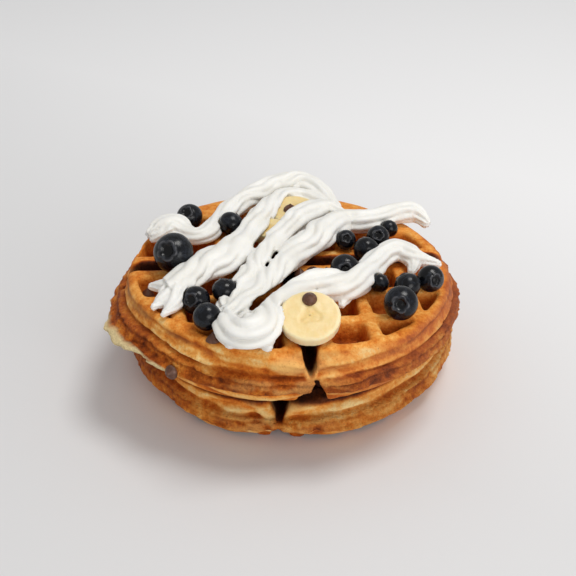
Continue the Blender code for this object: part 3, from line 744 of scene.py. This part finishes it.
def make_berry(number, diameter, crown, material):
    """A slightly flat ball whose crown is a ragged five-pointed cup."""
    polar = math.pi * np.linspace(0.004, 0.996, BERRY_ROWS) ** 1.25
    angle = TAU * np.arange(BERRY_STEPS) / BERRY_STEPS
    p, a = np.meshgrid(polar, angle, indexing="ij")
    star = np.abs(np.cos(2.5 * a + 0.3 * np.sin(3 * a + number)))
    lip = ridge(p, LIP_AT + LIP_POINTS * star, LIP_WIDTH) * (0.3 + 0.7 * star)
    cup = 1 - smoothstep(*CUP_EDGE, p)
    radius = diameter / 2
    nx, ny, nz = np.sin(p) * np.cos(a), np.sin(p) * np.sin(a), np.cos(p)
    bumps = BERRY_BUMPS * lumps(nx, ny, nz, 0.8, 20 + number)
    reach = radius * (1 + bumps + LIP_HEIGHT * lip - CUP_DEPTH * cup)
    points = np.stack([nx * reach, ny * reach, nz * reach * BERRY_HEIGHT], axis=-1).reshape(-1, 3)
    place = Matrix.Translation(berry_centre(number)) @ facing(*crown)
    name, node = f"berry_{number:02d}", f"blueberry_{number:02d}"
    attributes = {"cup": cup.ravel(), "lip": lip.ravel()}
    points, faces = moved_by(place, points), lathe_faces(BERRY_ROWS, BERRY_STEPS)
    return add_piece(name, points, faces, material, [node], attributes)


def slice_place(x, y, height, diameter, lean, azimuth):
    z = plane_height(TOP_PLANE, x, y) + height
    return Matrix.Translation((x, y, z)) @ facing(azimuth, 90.0 - lean)


def make_slice(number, row, material):
    """A thick banana slice: rounded edge, shallow core with three lobes, fine fibres down its side."""
    radius, half = row[3] / 2, BANANA_THICKNESS / 2
    flat = np.linspace(0.02, 0.90, FACE_RINGS)
    bend = np.linspace(0, math.pi / 2, EDGE_RINGS + 1)[1:]
    edge_r, edge_z = 0.90 + 0.09 * np.sin(bend), half - 0.14 * radius * (1 - np.cos(bend)) * 0.6
    side_r = np.linspace(0.99, 0.97, SIDE_RINGS)
    side_z = np.linspace(edge_z[-1], -half * 0.9, SIDE_RINGS + 1)[1:]
    shares = np.concatenate([flat, edge_r, side_r, [0.93, 0.6, 0.02]])
    heights = np.concatenate([np.full(FACE_RINGS, half), edge_z, side_z, [-half, -half, -half]])
    rings = lathe_points(shares * radius, heights, SLICE_STEPS)
    angle = TAU * np.arange(SLICE_STEPS) / SLICE_STEPS
    x, y, z = rings[..., 0], rings[..., 1], rings[..., 2]
    top = (np.arange(len(shares)) < FACE_RINGS)[:, None]
    share = shares[:, None]
    core = smoothstep(0.0, 0.12, 0.40 + 0.07 * np.cos(3 * angle + number)[None, :] - share) * top
    seeds = core * (np.abs(np.sin(1.5 * angle + number * 0.5))[None, :] < 0.25) * (share > 0.12)
    z = z - CORE_DEPTH * core + 0.12 * lumps(x, y, z, 2.5, 50 + number) * top
    fibre = 1 + 0.012 * lumps(np.cos(angle) * 60, np.sin(angle) * 60, 0 * angle, 3.0, 60 + number)[None, :]
    points = np.stack([x * fibre, y * fibre * BANANA_OVAL, z], axis=-1).reshape(-1, 3)
    node = f"banana_slice_{number:02d}"
    attributes = {
        "core": core.ravel(),
        "seeds": seeds.ravel(),
        "rim": (smoothstep(0.84, 0.97, share) * np.ones(SLICE_STEPS)).ravel(),
    }
    points = moved_by(slice_place(*row), points)
    faces = lathe_faces(len(shares), SLICE_STEPS)
    return add_piece(f"slice_{number}", points, faces, material, [node], attributes)


def chip_points(number):
    """A drop with a flat base and a small bent tip."""
    radii, heights = np.array(CHIP_OUTLINE).T
    rings = lathe_points(radii * CHIP_WIDTH / 2, heights * CHIP_HEIGHT, CHIP_STEPS)
    turn = number * 2.1
    bend = (rings[..., 2] / CHIP_HEIGHT) ** 3 * 0.5
    rings[..., 0] += bend * math.cos(turn)
    rings[..., 1] += bend * math.sin(turn)
    return rings.reshape(-1, 3), lathe_faces(len(CHIP_OUTLINE), CHIP_STEPS)


def surface_below(w, x, y):
    """Height of a waffle's surface in its level frame."""
    z = np.arange(THICKNESS + 2.0, 6.0, -0.1)
    inside = waffle_field(w, np.full_like(z, x), np.full_like(z, y), z) < 0
    return z[np.argmax(inside)]


def chip_places():
    """Where the chips lie on the upper waffle."""
    places = []
    for number, (x, y) in enumerate(WAFFLE_CHIPS):
        z = fit_between(UPPER, np.array([[x, y, surface_below(UPPER, x, y)]]))[0, 2]
        lean = Matrix.Rotation(0.25 * math.sin(number * 2.3), 4, "X")
        places.append(Matrix.Translation((x, y, z - CHIP_SINK)) @ lean)
    azimuth, height = SEAM_CHIP
    outward = np.array([math.cos(math.radians(azimuth)), math.sin(math.radians(azimuth)), 0.0])
    reach = np.arange(100.0, 60.0, -0.1)
    x, y = UPPER.centre[0] + outward[0] * reach, UPPER.centre[1] + outward[1] * reach
    low, high = face_heights(UPPER, x, y)
    level_z = (height - low) / (high - low) * THICKNESS
    hit = np.argmax(waffle_field(UPPER, x, y, level_z) < 0)
    at = Vector((x[hit], y[hit], height)) - Vector(outward) * 2 * CHIP_SINK
    places.append(Matrix.Translation(at) @ facing(azimuth, 10.0))
    return places


def banana_chip_place(index, x, y):
    """Flat on the slice's face."""
    place = slice_place(*BANANA_SLICES[index])
    local = place.inverted() @ Vector((x, y, place.translation.z))
    return place @ Matrix.Translation((local.x, local.y, BANANA_THICKNESS / 2 - CHIP_SINK))


def make_chips(name, places, material, replaced):
    all_points, all_faces = [], []
    for number, place in enumerate(places):
        points, faces = chip_points(number)
        all_faces.append(faces + sum(len(p) for p in all_points))
        all_points.append(moved_by(place, points))
    points, faces = np.concatenate(all_points), np.concatenate(all_faces)
    return add_piece(name, points, faces, material, replaced)


# Cream
def smooth_route(stations, spacing):
    """Rows of a Catmull-Rom curve through the stations, about a spacing apart."""
    rows = np.array(stations, float)
    rows = np.concatenate([[rows[0] * 2 - rows[1]], rows, [rows[-1] * 2 - rows[-2]]])
    route = []
    for before, start, end, after in zip(rows, rows[1:], rows[2:], rows[3:]):
        steps = max(1, round(float(np.linalg.norm(end - start)) / spacing))
        for t in np.arange(steps) / steps:
            curve = 2 * start + (end - before) * t
            curve = curve + (2 * before - 5 * start + 4 * end - after) * t**2
            route.append(0.5 * (curve + (3 * start - before - 3 * end + after) * t**3))
    route.append(rows[-2])
    return np.array(route)


def window_round(axes, centre, reach):
    """The part of a grid round a point."""
    return tuple(slice(*np.searchsorted(axis, (c - reach, c + reach))) for axis, c in zip(axes, centre))


def nearest_on_route(route, axes, reach):
    """For each point of a grid, which of a route's points is nearest, and whether that is within reach."""
    shape = tuple(len(axis) for axis in axes)
    nearest = np.zeros(shape, np.int32)
    best = np.full(shape, np.inf, np.float32)
    for index, centre in enumerate(route):
        window = window_round(axes, centre, reach)
        parts = [(axis[part] - c) ** 2 for axis, part, c in zip(axes, window, centre)]
        distance = parts[0][:, None, None] + parts[1][None, :, None] + parts[2][None, None, :]
        closer = distance < best[window]
        best[window][closer] = distance[closer]
        nearest[window][closer] = index
    return nearest, np.isfinite(best)


def strand_field(stations, axes, grid, number):
    """A piped strand: lengthwise ridges with sharp creases between them, and ragged ends."""
    route = smooth_route(stations, ROUTE_STEP)
    floor = plane_height(TOP_PLANE, route[:, 0], route[:, 1]) + GAP
    centres = np.column_stack([route[:, 0], route[:, 1], floor + route[:, 3] / 2])
    nearest, near = nearest_on_route(centres, axes, route[:, 2].max() / 2 + 4.5)
    field = np.full(near.shape, 9.0)
    index = nearest[near]
    points = np.stack([values[near] for values in grid], axis=1)
    tangent = np.gradient(route[:, :2], axis=0)
    tangent /= np.linalg.norm(tangent, axis=1)[:, None]
    offset = points - centres[index]
    along = (offset[:, :2] * tangent[index]).sum(axis=1)
    sideways = offset[:, 1] * tangent[index, 0] - offset[:, 0] * tangent[index, 1]
    place = index * ROUTE_STEP
    fatness = 1 + 0.08 * lumps(place, 0 * place + number * 9.0, 0 * place, 8.0, 71)
    half_width = route[index, 2] / 2 * fatness
    half_height = route[index, 3] / 2 * fatness
    s, h = sideways / half_width, offset[:, 2] / half_height
    angle = np.arctan2(h, s) + 0.3 * lumps(place, s * 2.0, 0 * place + number * 7.0, 11.0, 76)
    twist = 0.9 * lumps(place, 0 * place + number * 5.0, 0 * place, 24.0, 72) + 0.015 * place
    ends = np.minimum(index, len(route) - 1 - index) * ROUTE_STEP
    ragged = 1 - smoothstep(0.0, RAGGED_END, ends)
    lobe = np.abs(np.sin(CREAM_LOBES / 2 * (angle + twist)))
    depth = LOBE_DEPTH * (1 + 0.6 * lumps(place, angle * 2.0, 0 * place, 5.0, 73)) + 0.25 * ragged
    reach = 1.03 - depth * (1 - lobe**1.1)
    reach += 0.035 * lumps(place, angle * 3.0, 0 * place, 4.5, 75)
    reach += 0.045 * lumps(points[:, 0], points[:, 1], points[:, 2], 6.0, 74)
    radius = np.sqrt(s**2 + h**2 + (along / half_width) ** 2)
    field[near] = (radius - reach) * np.minimum(half_width, half_height)
    return field


def gap_field(x, y, z):
    """Outside the gaps between the strands."""
    seen_y = y + (z - GAP_HEIGHT) / math.tan(CAMERA_PITCH)
    best = np.full(x.shape, 9.0)
    for gap in CREAM_GAPS:
        for (ax, ay, ar), (bx, by, br) in zip(gap, gap[1:]):
            dx, dy = bx - ax, (by - ay) * FORESHORTENING
            sx, sy = x - ax, (seen_y - ay) * FORESHORTENING
            t = np.clip((sx * dx + sy * dy) / (dx * dx + dy * dy), 0, 1)
            width = ar + (br - ar) * t + 0.35 * lumps(x, seen_y, 0 * x, 2.5, 91)
            best = np.minimum(best, np.hypot(sx - dx * t, sy - dy * t) - width)
    return best


def kept_clear(chips):
    """Balls that the cream keeps off, round the berries and the chips: centre and radius."""
    berries = [(berry_centre(number), row[0] / 2 + 0.25) for number, row in enumerate(BERRIES, 1)]
    return berries + [(place @ Vector((0.0, 0.0, 1.6)), CHIP_WIDTH / 2 + 0.25) for place in chips]


def clear_of_slices(field, grid):
    """Takes the banana slices out of the cream's field."""
    for row in BANANA_SLICES:
        inverse = slice_place(*row).inverted()
        rotation, shift = np.array(inverse.to_3x3()), np.array(inverse.translation)
        reach = row[3] / 2 + BANANA_THICKNESS
        near = (np.abs(grid[0] - row[0]) < reach) & (np.abs(grid[1] - row[1]) < reach)
        x, y, z = (np.stack([values[near] for values in grid], axis=1) @ rotation.T + shift).T
        disc = np.maximum(np.hypot(x, y) - row[3] / 2, np.abs(z) - BANANA_THICKNESS / 2)
        field[near] = smooth_max(field[near], 0.4 - disc, 0.5)


def make_cream(chips, material):
    axes = [np.arange(a, b, CREAM_VOXEL) for a, b in zip(*CREAM_BOX)]
    grid = x, y, z = np.meshgrid(*axes, indexing="ij")
    field = np.full(x.shape, 99.0)
    for number, stations in enumerate((*CREAM_STRANDS, *CREAM_TIPS)):
        field = smooth_min(field, strand_field(stations, axes, grid, number), 0.7)
    field = np.maximum(field, plane_height(TOP_PLANE, x, y) + GAP - z)
    near = field < 2.0
    field[near] = smooth_max(field[near], -gap_field(x[near], y[near], z[near]), 0.8)
    for centre, radius in kept_clear(chips):
        window = window_round(axes, centre, radius + 3)
        away = np.sqrt(sum((values[window] - c) ** 2 for values, c in zip(grid, centre)))
        field[window] = smooth_max(field[window], radius - away, 0.5)
    clear_of_slices(field, grid)
    points, quads = mesh_from_values(field, CREAM_BOX[0], CREAM_VOXEL)
    return add_piece("piped_cream", points, quads, material, ["whipped_cream"])


# Materials
def tone(code):
    """Linear colour of a screen colour written as six hexadecimal digits."""
    parts = [int(code[i : i + 2], 16) / 255 for i in (0, 2, 4)]
    linear = [part / 12.92 if part <= 0.04045 else ((part + 0.055) / 1.055) ** 2.4 for part in parts]
    return (*linear, 1.0)


class Painter:
    """Short calls that build one material's nodes. Distances in textures are in millimetres."""

    def __init__(self, name, roughness, **inputs):
        self.material = bpy.data.materials.new(name)
        self.material.use_nodes = True
        self.tree = self.material.node_tree
        self.shader = self.tree.nodes["Principled BSDF"]
        self.shader.inputs["Roughness"].default_value = roughness
        for key, value in inputs.items():
            self.shader.inputs[key.replace("_", " ")].default_value = value
        self.place = self.tree.nodes.new("ShaderNodeTexCoord").outputs["Object"]

    def node(self, kind, sockets=(), **settings):
        made = self.tree.nodes.new(kind)
        for key, value in settings.items():
            setattr(made, key, value)
        for key, value in sockets:
            if isinstance(value, bpy.types.NodeSocket):
                self.tree.links.new(value, made.inputs[key])
            else:
                made.inputs[key].default_value = value
        return made

    def scaled(self, size):
        scale = (1 / (MM * size),) * 3
        place = self.node("ShaderNodeMapping", (("Vector", self.place), ("Scale", scale))).outputs[0]
        return (("Vector", place), ("Scale", 1.0))

    def noise(self, size, detail=4.0, roughness=0.55, distortion=0.0):
        sockets = (("Detail", detail), ("Roughness", roughness), ("Distortion", distortion))
        return self.node("ShaderNodeTexNoise", (*self.scaled(size), *sockets)).outputs["Fac"]

    def cells(self, size):
        return self.node("ShaderNodeTexVoronoi", self.scaled(size)).outputs["Distance"]

    def attribute(self, name):
        return self.node("ShaderNodeAttribute", attribute_name=name).outputs["Fac"]

    def math(self, operation, a, b=0.0, clamp=False):
        made = self.node("ShaderNodeMath", ((0, a), (1, b)), operation=operation, use_clamp=clamp)
        return made.outputs[0]

    def spread(self, value, low, high):
        """Stretches a range to 0 to 1."""
        sockets = (("Value", value), ("From Min", low), ("From Max", high))
        return self.node("ShaderNodeMapRange", sockets, clamp=True).outputs[0]

    def ramp(self, value, stops):
        made = self.node("ShaderNodeValToRGB", (("Fac", value),))
        elements = made.color_ramp.elements
        while len(elements) < len(stops):
            elements.new(0.5)
        for element, (position, code) in zip(elements, stops):
            element.position = position
            element.color = tone(code)
        return made.outputs["Color"]

    def mix(self, share, a, b):
        made = self.node("ShaderNodeMix", data_type="RGBA")
        for index, value in ((0, share), (6, a), (7, b)):
            if isinstance(value, bpy.types.NodeSocket):
                self.tree.links.new(value, made.inputs[index])
            else:
                made.inputs[index].default_value = tone(value) if isinstance(value, str) else value
        return made.outputs[2]

    def finish(self, colour, bumps=(), roughness=None):
        """Links the colour, and bumps of (height, distance in mm, strength) one on another."""
        self.tree.links.new(colour, self.shader.inputs["Base Color"])
        if roughness:
            self.tree.links.new(roughness, self.shader.inputs["Roughness"])
        normal = None
        for height, distance, strength in bumps:
            sockets = [("Height", height), ("Distance", distance * MM), ("Strength", strength)]
            if normal:
                sockets.append(("Normal", normal))
            normal = self.node("ShaderNodeBump", sockets).outputs[0]
        if normal:
            self.tree.links.new(normal, self.shader.inputs["Normal"])
        return self.material


def crust_material():
    p = Painter("waffle_crust", 0.6, Specular_IOR_Level=0.12)
    # Browning, with painted shade and painted highlights added in crust_attributes
    bake_and_shade = p.attribute("bake_and_shade")
    broad = p.math("MULTIPLY", p.math("SUBTRACT", p.noise(15.0, 3.0), 0.5), 0.5)
    middle = p.math("MULTIPLY", p.math("SUBTRACT", p.noise(4.5, 4.0, 0.6), 0.5), 0.5)
    fine = p.math("MULTIPLY", p.math("SUBTRACT", p.noise(1.6, 5.0, 0.7), 0.5), 0.5)
    bake_and_shade = p.math("ADD", p.math("ADD", p.math("ADD", bake_and_shade, broad), middle), fine, clamp=True)
    stops = (
        (0.0, "F8D894"),
        (0.2, "F0AA54"),
        (0.36, "DC822E"),
        (0.52, "BC5E1A"),
        (0.68, "8F400E"),
        (0.84, "5E2609"),
        (1.0, "361408"),
    )
    colour = p.ramp(bake_and_shade, stops)
    # Mauve tone, and a painted highlight line along a ridge on the left of the wall
    colour = p.mix(p.math("MULTIPLY", p.attribute("mauve_and_highlight"), 0.45), colour, "A0634C")
    colour = p.mix(p.math("MULTIPLY", p.attribute("olive"), 0.55), colour, "8E8055")
    colour = p.mix(p.math("MULTIPLY", p.attribute("pale"), 0.6), colour, "EEC077")
    # Painted shade along the creases round the wall
    colour = p.mix(p.math("MULTIPLY", p.attribute("crease_shade"), 0.5), colour, "682C0E")
    colour = p.mix(p.spread(p.attribute("straw"), 0.2, 0.5), colour, "F0D9A4")
    # Painted shade: near black on the lower waffle where the upper waffle lies over it
    colour = p.mix(p.math("MULTIPLY", p.attribute("shade_under_upper"), 0.75), colour, "180A05")
    specks = p.spread(p.noise(0.9, 2.0, 0.6), 0.60, 0.72)
    colour = p.mix(p.math("MULTIPLY", specks, 0.35), colour, "6A3210")
    crumb = p.noise(1.1, 4.0, 0.6)
    pores = p.spread(p.cells(1.6), 0.0, 0.45)
    rough_seam = p.math("MULTIPLY", p.noise(2.2, 4.0, 0.7), p.attribute("seam"))
    return p.finish(colour, [(rough_seam, 1.8, 0.9), (pores, 0.25, 0.6), (crumb, 0.5, 0.8)])


def cream_material():
    p = Painter("whipped_cream", 0.42, Subsurface_Weight=0.3, Subsurface_Scale=0.003, Specular_IOR_Level=0.35)
    p.shader.inputs["Subsurface Radius"].default_value = (1.0, 0.92, 0.8)
    colour = p.ramp(p.noise(14.0, 3.0), ((0.3, "F1F0EC"), (0.7, "EAE8E1")))
    streaks = p.noise(1.6, 3.0, 0.6)
    return p.finish(colour, [(streaks, 0.3, 0.5), (p.noise(0.5, 2.0), 0.06, 0.4)])


def berry_material():
    p = Painter("blueberry_skin", 0.25, Specular_IOR_Level=0.3)
    bloom = p.spread(p.noise(4.0, 5.0, 0.65, distortion=0.8), 0.48, 0.72)
    colour = p.ramp(p.noise(7.0, 3.0), ((0.3, "030304"), (0.7, "0A0C13")))
    colour = p.mix(p.math("MULTIPLY", bloom, 0.08), colour, "7C8AA2")
    colour = p.mix(p.attribute("cup"), colour, "040304")
    colour = p.mix(p.math("MULTIPLY", p.attribute("lip"), 0.45), colour, "77777C")
    roughness = p.math("ADD", p.math("MULTIPLY", bloom, 0.25), 0.2)
    return p.finish(colour, [(p.noise(0.9, 3.0), 0.1, 0.5)], roughness)


def banana_material():
    p = Painter("banana_flesh", 0.4, Subsurface_Weight=0.25, Subsurface_Scale=0.003)
    p.shader.inputs["Subsurface Radius"].default_value = (1.0, 0.7, 0.35)
    colour = p.ramp(p.noise(5.0, 4.0), ((0.3, "F2DCA6"), (0.7, "EBCE8C")))
    colour = p.mix(p.math("MULTIPLY", p.attribute("core"), 0.35), colour, "E3BC66")
    colour = p.mix(p.math("MULTIPLY", p.attribute("rim"), 0.6), colour, "F8EAC4")
    colour = p.mix(p.math("MULTIPLY", p.attribute("seeds"), 0.1), colour, "8A6A38")
    return p.finish(colour, [(p.noise(1.2, 4.0), 0.25, 0.5)])


def chip_material():
    p = Painter("chocolate", 0.45, Specular_IOR_Level=0.4)
    colour = p.ramp(p.noise(2.2, 4.0), ((0.3, "4A2A1C"), (0.7, "6B4634")))
    bloom = p.spread(p.noise(1.4, 4.0, 0.6), 0.5, 0.75)
    colour = p.mix(p.math("MULTIPLY", bloom, 0.3), colour, "A88878")
    return p.finish(colour, [(p.noise(0.8, 3.0), 0.1, 0.5)])


def floor_material():
    p = Painter("studio_floor", 0.7, Specular_IOR_Level=0.15)
    across, along = (p.node("ShaderNodeSeparateXYZ", (("Vector", p.place),)).outputs[axis] for axis in (0, 1))
    colour = p.ramp(p.noise(900.0, 2.0), ((0.3, "DCDCDD"), (0.7, "DFDFE0")))
    # Painted light: the floor gets lighter towards the right and the back
    far = p.spread(p.math("ADD", p.math("MULTIPLY", across, 0.6), along), -0.05, 0.3)
    colour = p.mix(far, colour, "F1F1F2")
    return p.finish(colour)


# Stage
def make_floor():
    mesh = bpy.data.meshes.new("studio_floor")
    corners = [(x * FLOOR_HALF, y * FLOOR_HALF, 0) for x, y in ((-1, -1), (1, -1), (1, 1), (-1, 1))]
    mesh.from_pydata(corners, [], [(0, 1, 2, 3)])
    mesh.materials.append(floor_material())
    floor = bpy.data.objects.new("studio_floor", mesh)
    bpy.context.scene.collection.objects.link(floor)


def area_light(name, place, size, power, colour):
    data = bpy.data.lights.new(name, "AREA")
    data.shape = "DISK"
    data.size = size
    data.energy = power
    data.color = colour
    obj = bpy.data.objects.new(name, data)
    obj.location = place
    obj.rotation_euler = (Vector(LIGHTS_AIM) - Vector(place)).to_track_quat("-Z", "Y").to_euler()
    bpy.context.scene.collection.objects.link(obj)


def make_lights():
    world = bpy.data.worlds.new("studio")
    world.use_nodes = True
    background = world.node_tree.nodes["Background"]
    background.inputs["Color"].default_value = (1.0, 1.0, 1.0, 1.0)
    background.inputs["Strength"].default_value = SKY_STRENGTH
    bpy.context.scene.world = world
    for row in LIGHTS:
        area_light(*row)
    bpy.context.scene.view_settings.view_transform = "Standard"


def make_camera():
    data = bpy.data.cameras.new("camera")
    data.lens = CAMERA_LENS
    camera = bpy.data.objects.new("camera", data)
    back = Vector((0.0, -math.cos(CAMERA_PITCH), math.sin(CAMERA_PITCH)))
    camera.location = (Vector(CAMERA_TARGET) + back * CAMERA_DISTANCE) * MM
    camera.rotation_euler = (math.pi / 2 - CAMERA_PITCH, 0.0, 0.0)
    bpy.context.scene.collection.objects.link(camera)
    bpy.context.scene.camera = camera


def build():
    crust, chocolate = crust_material(), chip_material()
    make_waffle("crust_lower", LOWER, LOWER_VOXEL, crust)
    make_waffle("crust_upper", UPPER, UPPER_VOXEL, crust)
    on_waffle = chip_places()
    make_chips("chocolate_chips", on_waffle, chocolate, ["waffle_upper"])
    skin = berry_material()
    for number, (diameter, crown) in enumerate(BERRIES, 1):
        make_berry(number, diameter, crown, skin)
    flesh = banana_material()
    for number, row in enumerate(BANANA_SLICES, 1):
        make_slice(number, row, flesh)
    on_slices = []
    for index, x, y in BANANA_CHIPS:
        place = banana_chip_place(index, x, y)
        on_slices.append(place)
        make_chips(f"chip_on_slice_{index + 1}", [place], chocolate, [f"banana_slice_{index + 1:02d}"])
    make_cream(on_waffle + on_slices, cream_material())
    make_floor()
    make_lights()
    make_camera()


build()
